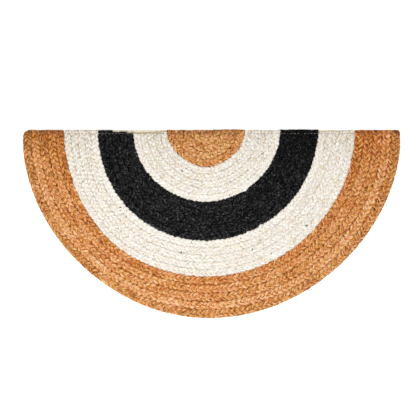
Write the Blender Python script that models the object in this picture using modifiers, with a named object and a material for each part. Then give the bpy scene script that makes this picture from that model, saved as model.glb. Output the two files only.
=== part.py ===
"""A half-round doormat of braided jute.

Twenty-five rows of flat three-strand braid lie side by side in half rings and are sewn edge to edge. From the middle
outward there are five rows in each colour band: natural, off-white, black, off-white, natural. The rows end at the
straight edge, where a cotton tape is stitched under their cut ends.

Metres, +Z up. The mat lies flat on its underside at z = 0, its straight edge runs along X on the +Y side, and the
origin is under the middle of its outline.
"""

import math

import bmesh
import bpy
from mathutils import Vector

# Sizes of the mat
THICKNESS = 0.009  # of the braid as it lies
ROWS_IN_A_BAND = 5
ROW_GAP = 0.0003  # between the solids of two rows

# The five colour bands. Each line gives the outer edge of one band as a ring about a point on the straight edge:
# its mean radius, how far its middle lies to the right of the mat's middle, and how uneven the sewing left it, as
# waves of two, three and four lobes round a full turn.
BANDS = (
    # name, colour, radius, aside, two_lobes, three_lobes, four_lobes
    ("centre", "natural", 0.0885, -0.0140, 0.0030, -0.0005, 0.0020),
    ("inner_cream", "cream", 0.1725, -0.0130, 0.0020, 0.0005, 0.0010),
    ("black", "black", 0.2615, -0.0110, -0.0010, 0.0015, -0.0005),
    ("outer_cream", "cream", 0.3475, -0.0080, -0.0015, 0.0030, -0.0010),
    ("border", "natural", 0.4465, -0.0015, 0.0020, 0.0015, 0.0020),
)
COIL_MIDDLE = (0.0, -0.0140, 0.0, 0.0, 0.0)  # the same five sizes where the first row starts
ROW_COUNT = ROWS_IN_A_BAND * len(BANDS)

# The section of a row, from its inner to its outer side: the share of the row's width and of its height. The foot is
# flat, the top has one swell over each half of the braid, and the halves meet in a shallow valley.
SECTION = (
    # across, up
    (0.14, 0.00),
    (0.00, 0.32),
    (0.04, 0.70),
    (0.26, 1.00),
    (0.50, 0.88),
    (0.74, 1.00),
    (0.96, 0.70),
    (1.00, 0.32),
    (0.86, 0.00),
)
HEIGHT_SPREAD = 0.03  # share by which rows differ in height
HALF_TURN_STEPS = 30  # facets along a row

# The cut ends. Each line names rows of one end that don't reach the straight edge, or reach past it, in metres.
CUT_SHORT = {
    # end: {row: how far short of the straight edge}
    "left": {6: 0.002, 7: 0.003, 8: 0.004, 9: 0.005, 10: 0.006, 11: 0.007, 12: 0.006, 13: 0.004},
    "right": {
        2: -0.001,
        3: -0.0015,
        4: -0.0015,
        5: -0.001,
        11: -0.001,
        12: -0.0015,
        13: -0.0015,
        14: -0.0015,
        15: -0.001,
        16: 0.009,
        17: 0.008,
        18: 0.008,
        19: 0.002,
    },
}
FURTHEST_PROUD = 0.0015
LEFT_CORNER_RADIUS = 0.015
RIGHT_CORNER_RADIUS = 0.005
CORNER_STEPS = 6

# The cotton tape under the cut ends
TAPE_WIDTH = 0.023
TAPE_THICKNESS = 0.0012
TAPE_SIDE_INSET = 0.012  # from either corner of the mat
TAPE_CORNER_RADIUS = 0.002
TAPE_CLEARANCE = 0.0003

# Colour (linear), roughness and metallic value of each finish
FINISHES = {
    "jute_natural": ((0.50, 0.235, 0.085), 0.85, 0.0),
    "jute_cream": ((0.74, 0.66, 0.54), 0.85, 0.0),
    "jute_black": ((0.016, 0.016, 0.017), 0.80, 0.0),
    "cotton_tape": ((0.72, 0.62, 0.47), 0.90, 0.0),
}

FAR = 1.0  # beyond the mat on every side


def clear_scene():
    for item in list(bpy.data.objects):
        bpy.data.objects.remove(item)


def new_collection(name, parent):
    collection = bpy.data.collections.new(name)
    parent.children.link(collection)
    return collection


def new_finish(name):
    colour, roughness, metallic = FINISHES[name]
    material = bpy.data.materials.new(name)
    material.use_nodes = True
    shader = material.node_tree.nodes["Principled BSDF"]
    shader.inputs["Base Color"].default_value = (*colour, 1.0)
    shader.inputs["Roughness"].default_value = roughness
    shader.inputs["Metallic"].default_value = metallic
    material.diffuse_color = (*colour, 1.0)
    return material


def mix(low, high, share):
    return tuple(a + (b - a) * share for a, b in zip(low, high))


def ring_sizes(rows):
    """Radius, place aside and lobes of the ring that lies this many rows out from the coil's middle."""
    band = min(int(rows // ROWS_IN_A_BAND), len(BANDS) - 1)
    inner = COIL_MIDDLE if band == 0 else BANDS[band - 1][2:]
    return mix(inner, BANDS[band][2:], rows / ROWS_IN_A_BAND - band)


def place_on_mat(rows, turn):
    """The point of the mat this many rows out, at this turn from the right-hand end of the straight edge."""
    radius, aside, two_lobes, three_lobes, four_lobes = ring_sizes(rows)
    reach = radius + two_lobes * math.cos(2 * turn)
    reach += three_lobes * math.cos(3 * turn) + four_lobes * math.cos(4 * turn)
    return aside + reach * math.cos(turn), reach * math.sin(turn)


def row_height(row):
    return THICKNESS * (1 - HEIGHT_SPREAD * (0.5 + 0.5 * math.sin(2.4 * row)))


def depth_of_mat():
    """From the straight edge to the lowest point of the round side, on the facets."""
    step = math.pi / HALF_TURN_STEPS
    lowest = min(place_on_mat(ROW_COUNT, -(i + 0.5) * step)[1] for i in range(HALF_TURN_STEPS))
    return -lowest


# The straight edge lies this far from the origin, so that the outline's middle is over it.
EDGE_Y = (depth_of_mat() - FURTHEST_PROUD) / 2


def mesh_of(item):
    """The evaluated shape of an object as a mesh of its own, its points welded and its faces turned out."""
    graph = bpy.context.evaluated_depsgraph_get()
    mesh = bpy.data.meshes.new_from_object(item.evaluated_get(graph))
    form = bmesh.new()
    form.from_mesh(mesh)
    bmesh.ops.remove_doubles(form, verts=form.verts, dist=0.00001)
    bmesh.ops.recalc_face_normals(form, faces=form.faces)
    form.to_mesh(mesh)
    form.free()
    return mesh


def outline_solid(name, outline, bottom, top, collection):
    """A flat outline raised from one height to another."""
    curve = bpy.data.curves.new(name, "CURVE")
    curve.dimensions = "2D"
    curve.fill_mode = "BOTH"
    curve.extrude = (top - bottom) / 2
    spline = curve.splines.new("POLY")
    spline.points.add(len(outline) - 1)
    for point, (x, y) in zip(spline.points, outline):
        point.co = (x, y, 0.0, 1.0)
    spline.use_cyclic_u = True
    drawn = bpy.data.objects.new(name + "_outline", curve)
    bpy.context.scene.collection.objects.link(drawn)
    mesh = mesh_of(drawn)
    bpy.data.objects.remove(drawn)
    solid = bpy.data.objects.new(name, mesh)
    solid.location.z = (bottom + top) / 2
    collection.objects.link(solid)
    return solid


def as_cutter(item):
    item.hide_render = True
    item.display_type = "WIRE"
    return item


def corner_arc(middle, radius, start, end):
    """Points of a rounded corner, from one direction to the other."""
    turns = [start + (end - start) * i / CORNER_STEPS for i in range(CORNER_STEPS + 1)]
    return [(middle[0] + radius * math.cos(t), middle[1] + radius * math.sin(t)) for t in turns]


def turned_ring(row, collection):
    """The section of one row turned full circle, with radii counted in rows."""
    first = row == 1
    half_gap = ROW_GAP / 2 / (ring_sizes(row)[0] - ring_sizes(row - 1)[0])
    inner, outer = row - 1 + half_gap, row - half_gap
    height = row_height(row)
    points = [(inner + (outer - inner) * across, height * up) for across, up in SECTION]
    if first:
        # The first turn closes on itself, so its section runs from the middle out and back.
        outer_side = points[3:]
        points = [(0.0, height * 0.8), *outer_side, (0.0, 0.0)]
    profile = bmesh.new()
    corners = [profile.verts.new((x, 0.0, z)) for x, z in points]
    pairs = list(zip(corners, corners[1:]))
    if not first:
        pairs.append((corners[-1], corners[0]))
    for pair in pairs:
        profile.edges.new(pair)
    mesh = bpy.data.meshes.new("section")
    profile.to_mesh(mesh)
    profile.free()
    drawn = bpy.data.objects.new("section", mesh)
    collection.objects.link(drawn)
    screw = drawn.modifiers.new("turn", "SCREW")
    screw.axis = "Z"
    screw.steps = 2 * HALF_TURN_STEPS
    screw.render_steps = screw.steps
    screw.use_merge_vertices = True
    screw.merge_threshold = 0.00001
    ring = mesh_of(drawn)
    bpy.data.objects.remove(drawn)
    return ring


def lay_on_mat(mesh):
    """Moves a turned ring's points to their places: half a facet round, then out to the row's uneven ring."""
    half_step = math.pi / HALF_TURN_STEPS / 2
    for vertex in mesh.vertices:
        rows = math.hypot(vertex.co.x, vertex.co.y)
        turn = math.atan2(vertex.co.y, vertex.co.x) + half_step
        x, y = place_on_mat(rows, turn)
        vertex.co = Vector((x, EDGE_Y + y, vertex.co.z))


def row_end_cutter(row, collection):
    """What the straight edge takes off one row: all that lies past its two cut ends."""
    left = EDGE_Y - CUT_SHORT["left"].get(row, 0.0)
    right = EDGE_Y - CUT_SHORT["right"].get(row, 0.0)
    middle = ring_sizes(row)[1]
    step = [] if left == right else [(middle, left), (middle, right)]
    outline = [(FAR, FAR), (-FAR, FAR), (-FAR, left), *step, (FAR, right)]
    if row == ROW_COUNT:
        half_step = math.pi / HALF_TURN_STEPS / 2
        left_side = place_on_mat(row, -math.pi + half_step)[0]
        right_side = place_on_mat(row, -half_step)[0]
        r = LEFT_CORNER_RADIUS
        left_arc = corner_arc((left_side + r, left - r), r, math.pi, math.pi / 2)
        r = RIGHT_CORNER_RADIUS
        right_arc = corner_arc((right_side - r, right - r), r, math.pi / 2, 0.0)
        past_left = (-FAR, left_arc[0][1])
        past_right = (FAR, right_arc[-1][1])
        outline = [(FAR, FAR), (-FAR, FAR), past_left, *left_arc, *right_arc, past_right]
    return as_cutter(outline_solid(f"ends_{row:02d}", outline, -THICKNESS, 2 * THICKNESS, collection))


def tape_room_cutter(collection):
    """The room under the row ends that the tape lies in, open towards the straight edge."""
    inner = EDGE_Y - TAPE_WIDTH - TAPE_CLEARANCE
    outline = [(FAR, FAR), (-FAR, FAR), (-FAR, inner), (FAR, inner)]
    top = TAPE_THICKNESS + TAPE_CLEARANCE
    return as_cutter(outline_solid("tape_room", outline, -THICKNESS, top, collection))


def cut(item, cutter, name):
    boolean = item.modifiers.new(name, "BOOLEAN")
    boolean.operation = "DIFFERENCE"
    boolean.object = cutter


def make_braid_row(row, finish, tape_room, mat, cutters):
    ring = turned_ring(row, cutters)
    lay_on_mat(ring)
    item = bpy.data.objects.new(f"braid_row_{row:02d}", ring)
    ring.name = item.name
    ring.materials.clear()
    ring.materials.append(finish)
    mat.objects.link(item)
    cut(item, row_end_cutter(row, cutters), "straight edge")
    cut(item, tape_room, "room for the tape")
    return item


def make_edge_tape(finish, mat):
    """A flat strip with its long outer side on the straight edge."""
    r = TAPE_CORNER_RADIUS
    right = place_on_mat(ROW_COUNT, 0.0)[0] - TAPE_SIDE_INSET - r
    left = place_on_mat(ROW_COUNT, math.pi)[0] + TAPE_SIDE_INSET + r
    high = EDGE_Y - r
    low = EDGE_Y - TAPE_WIDTH + r
    quarter = math.pi / 2
    outline = []
    corners = ((right, high), (left, high), (left, low), (right, low))
    for i, middle in enumerate(corners):
        outline += corner_arc(middle, r, i * quarter, (i + 1) * quarter)
    item = outline_solid("edge_tape", outline, 0.0, TAPE_THICKNESS, mat)
    item.data.materials.append(finish)
    return item


def main():
    clear_scene()
    mat = new_collection("braided_jute_doormat", bpy.context.scene.collection)
    cutters = new_collection("cutters", bpy.context.scene.collection)
    finishes = {name: new_finish(name) for name in FINISHES}
    tape_room = tape_room_cutter(cutters)
    for row in range(1, ROW_COUNT + 1):
        colour = BANDS[(row - 1) // ROWS_IN_A_BAND][1]
        make_braid_row(row, finishes["jute_" + colour], tape_room, mat, cutters)
    make_edge_tape(finishes["cotton_tape"], mat)


main()
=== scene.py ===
# %% [markdown]
# # A half-round doormat of braided jute
#
# This lesson dresses a packed set of plain solids as a real doormat. The mat is made of flat braid, three
# strands plaited together, laid in half rings and sewn row to row. Its 25 rows make five bands: natural,
# off-white, black, off-white and natural. The half rings are cut at the straight edge, and a cotton tape is
# stitched under those ends.
#
# What makes such a mat look real is that nothing in it is flat. Three thick strands climb over one another,
# so the light picks out a chevron of plump lobes with dark creases between them. So the strands are
# modelled all the way along, and the materials only add what is finer than a strand.

import math

import bmesh
import bpy
import numpy as np
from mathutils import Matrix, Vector


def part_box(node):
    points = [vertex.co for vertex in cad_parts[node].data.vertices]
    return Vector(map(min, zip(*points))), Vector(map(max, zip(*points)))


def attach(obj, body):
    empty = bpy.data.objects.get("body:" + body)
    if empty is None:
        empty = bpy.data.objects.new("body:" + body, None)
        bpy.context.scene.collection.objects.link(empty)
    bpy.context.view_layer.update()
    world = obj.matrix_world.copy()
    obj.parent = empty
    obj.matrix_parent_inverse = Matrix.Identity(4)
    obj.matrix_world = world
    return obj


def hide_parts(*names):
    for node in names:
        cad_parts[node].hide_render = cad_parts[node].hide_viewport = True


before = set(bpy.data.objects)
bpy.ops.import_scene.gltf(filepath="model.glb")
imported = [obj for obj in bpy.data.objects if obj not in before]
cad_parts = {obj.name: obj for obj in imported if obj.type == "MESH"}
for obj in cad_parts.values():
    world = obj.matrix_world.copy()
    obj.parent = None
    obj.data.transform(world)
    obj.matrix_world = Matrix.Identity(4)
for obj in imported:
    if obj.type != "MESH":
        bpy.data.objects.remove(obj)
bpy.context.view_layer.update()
print("packed nodes:", len(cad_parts))

# %% [markdown]
# ## Trees of nodes, written as sums
#
# Geometry Nodes and materials are both trees of nodes. They could be built one node and one link at a time,
# but then a single sum takes three lines. Here a node's output is a `Wire`, and Python's own signs work on
# it: `a * b + c` adds two nodes and joins them. `Tree.add` adds any other node. Its arguments in small
# letters are the node's settings, and the others are its inputs, with _ for a space. An input is given a
# wire or a plain value.

# %% A node's output
FAMILIES = ("ShaderNode", "GeometryNode", "FunctionNode")
GIVES_A_NUMBER = ("LENGTH", "DISTANCE", "DOT_PRODUCT")


class Wire:
    """A node's output. wire["Name"] is another output of the same node."""

    def __init__(self, tree, socket):
        self.tree = tree
        self.socket = socket
        self.is_vector = socket.type == "VECTOR"

    def __getitem__(self, name):
        return Wire(self.tree, self.socket.node.outputs[name])

    def __add__(self, other):
        return self.tree.sum("ADD", self, other)

    def __sub__(self, other):
        return self.tree.sum("SUBTRACT", self, other)

    def __rsub__(self, other):
        return self.tree.sum("SUBTRACT", other, self)

    def __mul__(self, other):
        return self.tree.sum("MULTIPLY", self, other)

    def __truediv__(self, other):
        return self.tree.sum("DIVIDE", self, other)

    def __rtruediv__(self, other):
        return self.tree.sum("DIVIDE", other, self)


print("families of nodes:", ", ".join(FAMILIES))

# %% A tree
class Tree:
    """The nodes of a group or a material. tree["Name"] is a group's input."""

    def __init__(self, group):
        self.group = group
        self.kinds = {}

    def __getitem__(self, name):
        return Wire(self, self.group.nodes["Group Input"].outputs[name])

    def fill(self, node, inputs):
        """Joins wires to a node's inputs, by name or number, and types any other value into them."""
        for name, value in inputs.items():
            socket = node.inputs[name.replace("_", " ") if isinstance(name, str) else name]
            if isinstance(value, Wire):
                self.group.links.new(value.socket, socket)
            else:
                socket.default_value = value

    def add(self, kind, numbered=None, **named):
        """Adds a node and returns its first output."""
        kind = next(family + kind for family in FAMILIES if hasattr(bpy.types, family + kind))
        node = self.group.nodes.new(kind)
        for name, value in named.items():
            if name.islower():
                setattr(node, name, value)
        self.fill(node, {name: value for name, value in named.items() if not name.islower()})
        self.fill(node, numbered or {})
        return Wire(self, node.outputs[0])

    def sum(self, operation, *values):
        """The result of one sum, such as ADD or SINE, on numbers or vectors."""
        vectors = [isinstance(value, tuple) or getattr(value, "is_vector", False) for value in values]
        inputs = dict(enumerate(values))
        if not any(vectors):
            return self.add("Math", inputs, operation=operation)
        if operation == "MULTIPLY" and not all(vectors):
            return self.add("VectorMath", {0: values[0], "Scale": values[1]}, operation="SCALE")
        result = self.add("VectorMath", inputs, operation=operation)
        return result["Value"] if operation in GIVES_A_NUMBER else result

    def ranged(self, value, low, high, to_low=0.0, to_high=1.0, ease="LINEAR"):
        """Takes a value from one range to another and holds it at the ends."""
        inputs = dict(enumerate((value, low, high, to_low, to_high)))
        return self.add("MapRange", inputs, interpolation_type=ease)

    def ramp(self, value, stops):
        """A colour ramp, whose stops are a place and a colour each."""
        colour = self.add("ValToRGB", Fac=value)
        elements = colour.socket.node.color_ramp.elements
        while len(elements) < len(stops):
            elements.new(0.5)
        for element, (place, *shade) in zip(elements, stops):
            element.position = place
            element.color = (*shade, 1.0)
        return colour

    def shade(self, **inputs):
        """Fills the inputs of a material's own shader."""
        self.fill(self.group.nodes["Principled BSDF"], inputs)

    def store(self, geometry, **values):
        """Writes values on a geometry's points, as attributes of these names."""
        for name, value in values.items():
            kind = self.kinds[name] = "FLOAT_VECTOR" if value.is_vector else "FLOAT"
            inputs = {"Geometry": geometry, "Name": name, "Value": value}
            geometry = self.add("StoreNamedAttribute", inputs, data_type=kind, domain="POINT")
        return geometry

    def read(self, name):
        """A stored attribute. One that the tree didn't store itself is a vector."""
        return self.add("InputNamedAttribute", data_type=self.kinds.get(name, "FLOAT_VECTOR"), Name=name)

    def hand_out(self, geometry, material):
        """The end of a tree: a smooth and real mesh with its material."""
        smooth = self.add("SetShadeSmooth", Geometry=geometry)
        real = self.add("RealizeInstances", Geometry=smooth)
        finished = self.add("SetMaterial", Geometry=real, Material=material)
        self.fill(self.group.nodes["Group Output"], {0: finished})


def new_group(name, kind, inputs, outputs):
    """A tree of its own. Each input has a name and a number to start from, or the kind of its socket."""
    group = bpy.data.node_groups.new(name, kind)
    for way, sockets in (("INPUT", inputs), ("OUTPUT", outputs)):
        for label, value in sockets.items():
            is_kind = isinstance(value, str)
            word = value if is_kind else type(value).__name__.title()
            socket = group.interface.new_socket(label, in_out=way, socket_type=f"NodeSocket{word}")
            if not is_kind:
                socket.default_value = value
    group.nodes.new("NodeGroupInput")
    group.nodes.new("NodeGroupOutput")
    return Tree(group)


def new_material(name):
    """A new material and its tree."""
    material = bpy.data.materials.new(name)
    material.use_nodes = True
    return material, Tree(material.node_tree)


print("helpers of a tree:", ", ".join(name for name in vars(Tree) if not name.startswith("_")))

# %% [markdown]
# ## The camera
#
# The mat is pictured from straight above, with its straight edge level and its round side towards the
# viewer. A long lens high over the floor keeps the rings round, as a picture taken from far away does. The
# camera could be an orthographic one, but a real lens also works for the views from the side. The picture
# is square, and the mat doesn't lie in its middle: there is a little more floor below it than above.

# %% The camera, straight above
PICTURE_WIDTH = 1.0000  # metres of floor from side to side of the picture
PICTURE_MIDDLE = (-0.0036, 0.0322)  # the point of the mat's frame in the middle of the picture
LENS = 85.0
SENSOR = 36.0


def add_object(name, data):
    """A new object in the scene."""
    thing = bpy.data.objects.new(name, data)
    bpy.context.scene.collection.objects.link(thing)
    return thing


camera = add_object("camera", bpy.data.cameras.new("camera"))
camera.data.lens = LENS
camera.data.sensor_width = SENSOR
camera.location = (*PICTURE_MIDDLE, PICTURE_WIDTH * LENS / SENSOR)
bpy.context.scene.camera = camera
print("camera height:", round(camera.location.z, 3))

# %% [markdown]
# ## The floor and the light
#
# The floor is a plain white sheet, wide enough for every view. The light is soft, but not the same from
# everywhere, or the lobes of the braid would lose their shape. A wide lamp on the round side is the key, a
# weaker one on the other side fills its shadows, and a dim even sky lights the rest. Studios lay flat goods
# on a lit table to lose the thin grey shadow round them, so the floor glows a little. The sky is brighter
# for the camera than for the mat, which keeps the horizon white in the views from the side. The standard
# view transform keeps the colours as they are mixed.

# %% Floor, lamps and sky
WHITE = (1.0, 1.0, 1.0, 1.0)
FLOOR_SIDE = 12.0
FLOOR_PAINT = {
    "Base Color": (0.93, 0.93, 0.93, 1.0),
    "Roughness": 0.9,
    "Emission Color": WHITE,
    "Emission Strength": 0.40,
}
SKY_STRENGTH = 0.40
SKY_SEEN = 0.95
LAMPS = (
    # name, place, side in metres, watts
    ("key_lamp", (-0.58, -1.1, 1.9), 0.8, 38.5),
    ("fill_lamp", (1.3, 1.2, 1.9), 1.5, 22.0),
)


def mesh_from(form, name):
    """Ends the work on a BMesh and keeps it as a mesh."""
    mesh = bpy.data.meshes.new(name)
    form.to_mesh(mesh)
    form.free()
    return mesh


def make_floor():
    """The white sheet under the mat."""
    paint, tree = new_material("floor_paint")
    tree.shade(**FLOOR_PAINT)
    form = bmesh.new()
    bmesh.ops.create_grid(form, x_segments=1, y_segments=1, size=FLOOR_SIDE / 2)
    mesh = mesh_from(form, "floor")
    mesh.materials.append(paint)
    add_object("floor", mesh)


def make_lamp(name, place, side, watts):
    """A square lamp that looks at the mat's middle."""
    lamp = add_object(name, bpy.data.lights.new(name, "AREA"))
    lamp.data.size = side
    lamp.data.energy = watts
    lamp.location = place
    lamp.rotation_euler = (-Vector(place)).to_track_quat("-Z", "Y").to_euler()


def make_sky():
    """An even sky, brighter for the camera than for the mat."""
    sky = bpy.data.worlds.new("studio")
    sky.use_nodes = True
    tree = Tree(sky.node_tree)
    strength = tree.ranged(tree.add("LightPath")["Is Camera Ray"], 0.0, 1.0, SKY_STRENGTH, SKY_SEEN)
    tree.fill(sky.node_tree.nodes["Background"], {"Color": WHITE, "Strength": strength})
    bpy.context.scene.world = sky


make_floor()
for lamp_settings in LAMPS:
    make_lamp(*lamp_settings)
make_sky()
bpy.context.scene.view_settings.view_transform = "Standard"
print("lamps:", len(LAMPS))

# %% [markdown]
# ## Where the rows lie
#
# Each seam between two rows is nearly a half circle, but hand sewing leaves it a little wide here and
# narrow there. The seams could be drawn point by point. They follow a rule instead, the one that shaped the
# packed solids: a ring has a mean radius, a middle that lies a little aside, and shallow waves of two,
# three and four lobes. The table gives those sizes at the outer edge of each band, and the rows between
# share the way evenly. Turn 0 is the right-hand end of the straight edge, and the rows run clockwise from
# there. A few nudges follow the picture where a hand pulled a seam in or let it out.

# %% The rule of the rings
ROWS_IN_A_BAND = 5
BANDS = (
    # name, colour, radius, aside, two_lobes, three_lobes, four_lobes
    ("centre", "natural", 0.0885, -0.0140, 0.0030, -0.0005, 0.0020),
    ("inner_cream", "cream", 0.1725, -0.0130, 0.0020, 0.0005, 0.0010),
    ("black", "black", 0.2615, -0.0110, -0.0010, 0.0015, -0.0005),
    ("outer_cream", "cream", 0.3475, -0.0080, -0.0015, 0.0030, -0.0010),
    ("border", "natural", 0.4465, -0.0015, 0.0020, 0.0015, 0.0020),
)
COIL_MIDDLE = (0.0, -0.0140, 0.0, 0.0, 0.0)
NUDGES = (
    # seam, counted in rows from the middle, rows reached, turn, half width in radians, metres outward
    (5, 5, -math.pi, 0.5, -0.0028),
    (5, 5, -0.5, 0.25, 0.0015),
    (10, 5, -math.pi, 0.4, -0.0025),
    (10, 5, -1.6, 1.2, -0.0014),
    (10, 1, -0.99, 0.025, 0.0040),
    (15, 5, 0.0, 0.15, 0.0035),
    (15, 1, -1.056, 0.018, -0.0045),
    (20, 5, -0.6, 0.25, -0.0030),
    (20, 5, -2.6, 0.3, -0.0020),
    (20, 5, -1.9, 0.2, -0.0020),
    (25, 5, -math.pi, 0.10, -0.0035),
    (25, 5, -2.2, 0.35, -0.0018),
    (25, 5, 0.0, 0.08, -0.0038),
)
ROW_COUNT = ROWS_IN_A_BAND * len(BANDS)
TAPE_LOW, TAPE_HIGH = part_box("edge_tape")
EDGE_Y = TAPE_HIGH.y  # the straight edge
THICKNESS = 0.009
HEIGHT_SPREAD = 0.03  # share by which the lowest row is lower than the highest
ROW_PHASE = 2.4  # radians from one row to the next, which keep neighbours unlike


def band_of(row):
    """The line of the table for the band that a row belongs to."""
    return BANDS[(row - 1) // ROWS_IN_A_BAND]


def ring_sizes(rows):
    """Radius, place aside and lobes of the ring that lies this many rows out from the coil's middle."""
    band = min(int(rows // ROWS_IN_A_BAND), len(BANDS) - 1)
    inner = COIL_MIDDLE if band == 0 else BANDS[band - 1][2:]
    share = rows / ROWS_IN_A_BAND - band
    return [a + (b - a) * share for a, b in zip(inner, BANDS[band][2:])]


def place_on_mat(rows, turn):
    """The points of the mat this many rows out, at these turns."""
    radius, aside, two_lobes, three_lobes, four_lobes = ring_sizes(rows)
    reach = radius + two_lobes * np.cos(2 * turn)
    reach = reach + three_lobes * np.cos(3 * turn) + four_lobes * np.cos(4 * turn)
    for seam, rows_reached, centre, half_width, outward in NUDGES:
        nearness = max(0.0, 1 - abs(rows - seam) / rows_reached)
        reach = reach + outward * nearness * np.exp(-(((turn - centre) / half_width) ** 2))
    return np.stack((aside + reach * np.cos(turn), EDGE_Y + reach * np.sin(turn), 0 * turn), axis=-1)


def row_height(row):
    """Rows differ a little in height, by the same rule as in the solids."""
    return THICKNESS * (1 - HEIGHT_SPREAD * (0.5 + 0.5 * math.sin(ROW_PHASE * row)))


print("straight edge at y =", round(EDGE_Y, 4), "and", ROW_COUNT, "rows")

# %% [markdown]
# ## Uneven as hand work is
#
# No two lobes of real jute are alike. Points moved at random would only make a strand rough, so slow noise
# does it. Along a strand it lets the plait tighten, slacken, rise and swell. Over the mat it is a field
# that pushes things about. Hand sewing pulls lobes into the gaps between the next row's lobes, and a field
# that depends only on the place pushes both rows the same way. So the seam wanders, and neither gapes nor
# overlaps. At the rim nothing presses from outside, and the field is calm.

# %% Two kinds of noise
SEED_STEP = 17.31  # keeps the noise of one seed away from that of the next
FLAT = (1.0, 1.0, 0.0)  # takes the height out of a vector
UNEVENNESS = {"Unevenness": 0.0042, "Unevenness Wave": 0.0110}
RIM_RADIUS = BANDS[-1][2]
RIM_CALM = (-0.004, 0.022, 0.25, 1.0)  # two distances from the rim, and the share of the field at each


def noise_along(length, seed, wave, span):
    """Slow noise along a length, between minus and plus the span."""
    place = length * (1.0 / wave) + seed * SEED_STEP
    noise = length.tree.add("TexNoise", W=place, Scale=1.0, Detail=1.0, noise_dimensions="1D")
    return (noise - 0.5) * (2.0 * span)


def push_about(place):
    """How far the mat's unevenness moves a point."""
    tree = place.tree
    in_waves = place * (1.0 / tree["Unevenness Wave"])
    noise = tree.add("TexNoise", Vector=in_waves, Scale=1.0, Detail=1.0, noise_dimensions="2D")
    from_rim = RIM_RADIUS - tree.sum("DISTANCE", place * FLAT, (0.0, EDGE_Y, 0.0))
    strength = tree.ranged(from_rim, *RIM_CALM) * tree["Unevenness"]
    return (noise["Color"] - (0.5, 0.5, 0.5)) * strength * FLAT


print("unevenness:", UNEVENNESS)

# %% [markdown]
# ## Sweeping a strand
#
# A strand and the seam's yarn are both an oval swept along a spline. A bevelled curve could do that, but it
# forgets where its points came from. This sweep also writes the attribute `fibre`: where each point lies on
# its own strand as though that were pulled straight, across, through and along, in metres. The material
# draws its fibres on those, so they run along the strand wherever it turns.


# %% Sweep
def sweep_strand(tree, splines, width, height, fatness=1.0, **carried):
    """Sweeps an oval along splines, which carry these attributes along."""
    upright = tree.add("SetCurveNormal", Curve=splines, mode="Z_UP")
    upright = tree.store(upright, pulled=tree.add("SplineParameter")["Length"], **carried)
    circle = tree.add("CurvePrimitiveCircle", Resolution=tree["Sides"], Radius=0.5)
    oval = tree.add("CombineXYZ", X=width, Y=height, Z=1.0)
    section = tree.add("Transform", Geometry=circle, Scale=oval)
    section = tree.store(section, in_section=tree.add("InputPosition"))
    tube = tree.add("CurveToMesh", Curve=upright, Profile_Curve=section, Scale=fatness, Fill_Caps=True)
    place = tree.add("SeparateXYZ", Vector=tree.read("in_section"))
    fibre = tree.add("CombineXYZ", X=place["X"], Y=place["Y"], Z=tree.read("pulled"))
    return tree.store(tube, fibre=fibre)


print("helper: sweep_strand")

# %% [markdown]
# ## The plait
#
# In a three-strand plait every strand does the same thing, a third of a round after the one before it. Seen
# from above it swings from side to side like a sine wave. Seen from the side it rises and falls twice in
# that time, so that it lies on top while it runs outward and underneath while it runs back. Those two waves
# are the whole secret of a plait: sin(phase) sideways and sin(2 * phase) up.
#
# The strands could be modelled once and copied along by an array, but a row is bent, a little wider here
# than there. So Geometry Nodes lay the strands along the row itself. The row comes in as a line of points
# down its middle, each with a vector across the row from one seam to the other. The tree makes three
# splines of it and moves their points by the two waves. Near the straight edge the stitches hold the
# strands down on each other.

# %% The two waves
STRANDS = 3
SHARE_OF_A_ROUND = 2 * math.pi / STRANDS  # from one strand to the next
STRAND_SEED = 3.7  # between the seeds of a row's strands
WANDER = (0.034, 0.85)  # wave in metres, and radians by which the plait runs ahead or lags
SWING_NOISE = (0.012, 0.0007)  # wave, and metres by which a strand swings too far or not far enough
RISE_NOISE = (0.019, 0.0004)
SIDE_SHARPNESS = 3.0  # how close to a seam a strand counts as being at the side
END_HELD = (0.004, 0.016)  # from the straight edge: the strands are quite held down, and quite free
END_FLATTER = 0.42  # share of the plait's rise that is lost there


def three_splines(tree):
    """Three copies of a row's line, with what later steps want to know at each point."""
    line = tree.add("MeshToCurve", Mesh=tree["Row Middle"])
    steps = tree.add("ResampleCurve", Curve=line, Count=tree["Steps"])
    three = tree.add("DuplicateElements", Geometry=steps, Amount=STRANDS, domain="SPLINE")
    across = tree.read("across")
    return tree.store(
        three,
        strand=three["Duplicate Index"],
        sideways=tree.sum("NORMALIZE", across),
        middle=tree.add("InputPosition"),
        half_width=tree.sum("LENGTH", across) * 0.5,
    )


def held_down(tree):
    """How far the stitches hold a point down, from 0 to 1."""
    place = tree.add("SeparateXYZ", Vector=tree.add("InputPosition"))
    return tree.ranged(tree["Edge Line"] - place["Y"], END_HELD[1], END_HELD[0])


def wave_strands(tree, splines, along, own_seed):
    """Moves the splines by the two waves. Also returns how nearly a strand is at the side of its row."""
    phase = (along / tree["Lobe Length"] + tree.read("strand")) * SHARE_OF_A_ROUND
    phase = phase + noise_along(along, tree["Seed"], *WANDER)
    swing = (tree.sum("LENGTH", tree.read("across")) - tree["Strand Width"]) * 0.5 + tree["Press"]
    swing = swing + noise_along(along, own_seed, *SWING_NOISE)
    lift = (tree["Height"] - tree["Strand Thickness"]) * 0.5 * (held_down(tree) * -END_FLATTER + 1.0)
    rise = tree.sum("SINE", phase * 2.0) * (lift * (tree["Points Along"] * -1.0))
    at_side = tree.sum("POWER", tree.sum("ABSOLUTE", tree.sum("SINE", phase)), SIDE_SHARPNESS)
    rise = at_side * tree["Side Lift"] + (tree["Height"] * 0.5 + rise)
    rise = rise + noise_along(along, own_seed, *RISE_NOISE)
    offset = tree.read("sideways") * (tree.sum("SINE", phase) * swing) + tree.add("CombineXYZ", Z=rise)
    return tree.add("SetPosition", Geometry=splines, Offset=offset), at_side


print("helpers: three_splines, held_down, wave_strands")

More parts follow.
